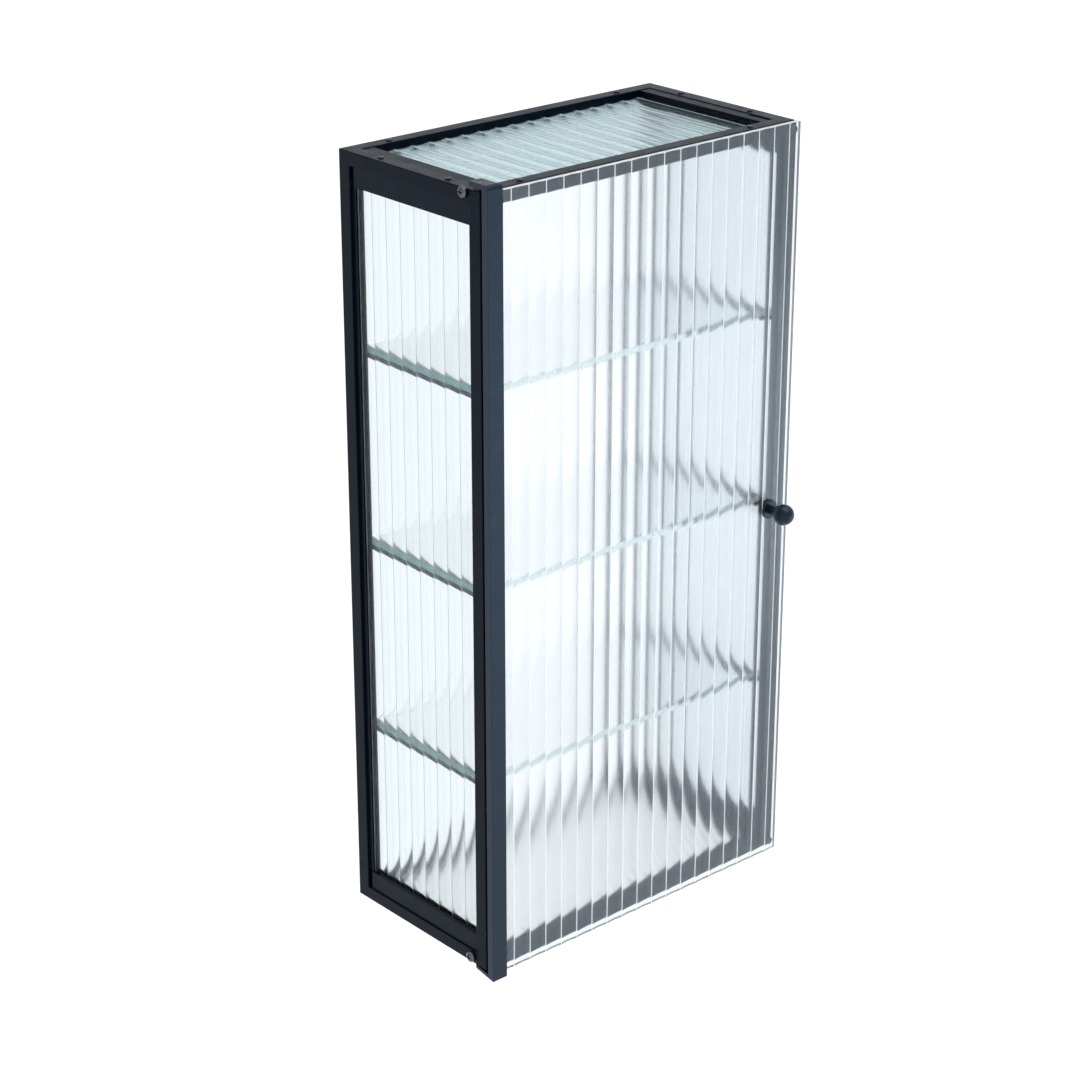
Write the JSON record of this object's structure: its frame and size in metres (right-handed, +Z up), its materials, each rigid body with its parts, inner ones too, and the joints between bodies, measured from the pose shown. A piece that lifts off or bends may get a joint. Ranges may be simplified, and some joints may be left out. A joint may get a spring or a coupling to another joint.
{
  "type": "wall mounted showcase",
  "caption": "Wall mounted display cabinet with a black metal frame, fluted glass panes, glass shelves and a pivoting fluted glass door with a round knob.",
  "frame": {"origin": "middle of the rear face of the top back rail, on the wall plane", "axes": "+X to the right seen from the front, +Y into the wall, +Z up"},
  "size_m": [0.4064, 0.2468, 0.816],
  "materials": {
    "frame": "satin black powder coat",
    "channel": "satin black powder coat",
    "fluted_glass": "clear fluted glass",
    "shelf_glass": "clear glass with polished edges",
    "screw_steel": "dark burnished steel",
    "bush": "matt",
    "rubber": "matt",
    "knob": "satin black"
  },
  "bodies": {
    "cabinet": {"corner_connector_top_front_left": "frame", "corner_connector_top_front_right": "frame", "corner_connector_top_back_left": "frame", "corner_connector_top_back_right": "frame", "corner_connector_bottom_front_left": "frame", "corner_connector_bottom_front_right": "frame", "corner_connector_bottom_back_left": "frame", "corner_connector_bottom_back_right": "frame", "rail_top_front": "frame", "rail_top_back": "frame", "rail_top_left": "frame", "rail_top_right": "frame", "rail_bottom_front": "frame", "rail_bottom_back": "frame", "rail_bottom_left": "frame", "rail_bottom_right": "frame", "post_front_left": "frame", "post_front_right": "frame", "post_back_left": "frame", "post_back_right": "frame", "glazing_channel_top_left": "channel", "glazing_channel_top_right": "channel", "glazing_channel_bottom_left": "channel", "glazing_channel_bottom_right": "channel", "side_glass_left": "fluted_glass", "side_glass_right": "fluted_glass", "top_glass": "fluted_glass", "bottom_glass": "fluted_glass", "shelf_lower": "shelf_glass", "shelf_bar_lower_left": "channel", "shelf_bar_lower_right": "channel", "shelf_middle": "shelf_glass", "shelf_bar_middle_left": "channel", "shelf_bar_middle_right": "channel", "shelf_upper": "shelf_glass", "shelf_bar_upper_left": "channel", "shelf_bar_upper_right": "channel", "frame_screw_left_rail_front": "screw_steel", "frame_screw_front_rail_left": "screw_steel", "frame_screw_left_rail_back": "screw_steel", "frame_screw_back_rail_left": "screw_steel", "frame_screw_right_rail_front": "screw_steel", "frame_screw_front_rail_right": "screw_steel", "frame_screw_right_rail_back": "screw_steel", "frame_screw_back_rail_right": "screw_steel", "lock_screw_top": "screw_steel", "door_bumper_top": "rubber", "pivot_bush_top": "bush", "lock_screw_bottom": "screw_steel", "door_bumper_bottom": "rubber", "pivot_bush_bottom": "bush"},
    "door": {"door_glass": "fluted_glass", "door_stile": "frame", "pivot_pin_top": "screw_steel", "pivot_pin_bottom": "screw_steel", "door_knob": "knob", "knob_screw": "screw_steel", "knob_washer": "rubber"}
  },
  "joints": [
    {"name": "door_hinge", "type": "hinge", "parent": "cabinet", "child": "door", "pos_m": [-0.194, -0.1985, -0.393], "axis": [0, 0, -1], "range_deg": [0, 98]}
  ]
}
